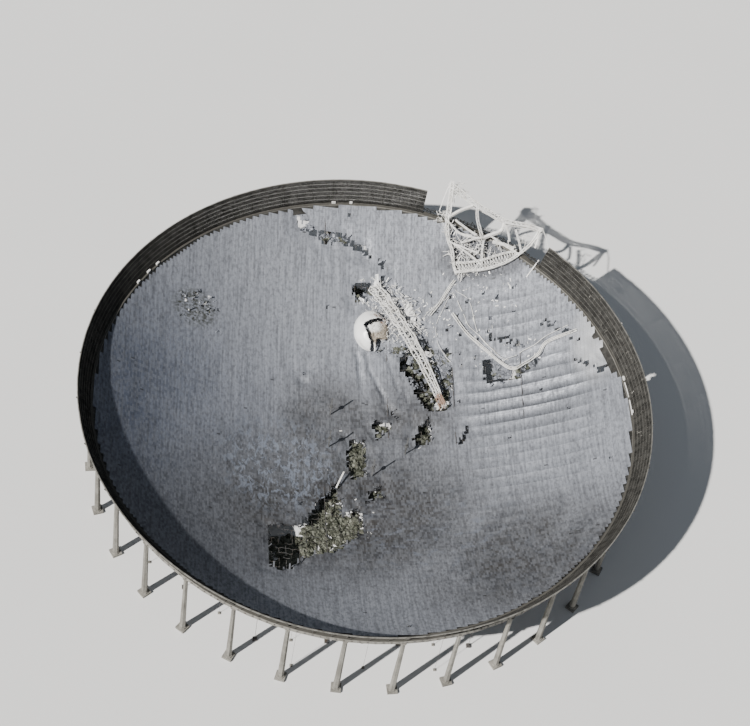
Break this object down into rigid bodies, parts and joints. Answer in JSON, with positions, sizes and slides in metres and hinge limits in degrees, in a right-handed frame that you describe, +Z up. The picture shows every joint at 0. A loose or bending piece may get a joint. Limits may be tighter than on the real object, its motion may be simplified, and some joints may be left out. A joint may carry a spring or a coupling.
{
  "type": "radio telescope dish, fallen platform, 1:10 scale model",
  "caption": "Fixed spherical radio telescope dish on a pier ring with a mesh ground screen, its suspended platform, arm and dome fallen through the torn reflector.",
  "frame": {"origin": "on the ground under the middle of the dish, level with the undersides of the pier footings", "axes": "+X east, +Y north along the main cables, +Z up along the axis of the bowl"},
  "size_m": [32.18, 32.2092, 7.2445],
  "materials": {
    "reflector_panel": "dull, stained",
    "concrete": "cast, weathered",
    "screen_mesh": "dull mesh",
    "cable_steel": "weathered",
    "dome_skin": "white, satin",
    "white_steel": "white paint, worn"
  },
  "bodies": {
    "root": {"reflector_south_west": "reflector_panel", "reflector_south_centre": "reflector_panel", "reflector_south_east": "reflector_panel", "reflector_middle_west": "reflector_panel", "reflector_middle_centre": "reflector_panel", "reflector_middle_east": "reflector_panel", "reflector_north_west": "reflector_panel", "reflector_north_centre": "reflector_panel", "reflector_north_east": "reflector_panel", "rim_beam_1": "concrete", "rim_beam_2": "concrete", "rim_beam_3": "concrete", "rim_beam_4": "concrete", "rim_beam_5": "concrete", "rim_beam_6": "concrete", "rim_beam_7": "concrete", "rim_beam_8": "concrete", "ground_screen_1": "screen_mesh", "ground_screen_2": "screen_mesh", "ground_screen_3": "screen_mesh", "ground_screen_4": "screen_mesh", "ground_screen_5": "screen_mesh", "ground_screen_6": "screen_mesh", "ground_screen_7": "screen_mesh", "ground_screen_8": "screen_mesh", "main_cable_1_south": "cable_steel", "main_cable_1_north": "cable_steel", "main_cable_2_south": "cable_steel", "main_cable_2_north": "cable_steel", "main_cable_3_south": "cable_steel", "main_cable_3_north": "cable_steel", "main_cable_4_south": "cable_steel", "main_cable_4_north": "cable_steel", "main_cable_5_south": "cable_steel", "main_cable_5_north": "cable_steel", "main_cable_6_south": "cable_steel", "main_cable_6_north": "cable_steel", "platform_side_west": "white_steel", "platform_side_south": "white_steel", "platform_side_north": "white_steel", "platform_inner_frame": "white_steel", "platform_track_beam": "white_steel", "crushed_screen": "screen_mesh", "arm_side_west": "white_steel", "arm_side_east": "white_steel", "arm_bracing": "white_steel", "dome_shell": "dome_skin", "fallen_catwalk": "white_steel", "fallen_catwalk_tail": "white_steel", "target_mast_1": "white_steel", "target_mast_2": "white_steel", "target_mast_3": "white_steel", "target_mast_4": "white_steel"}
  },
  "joints": []
}
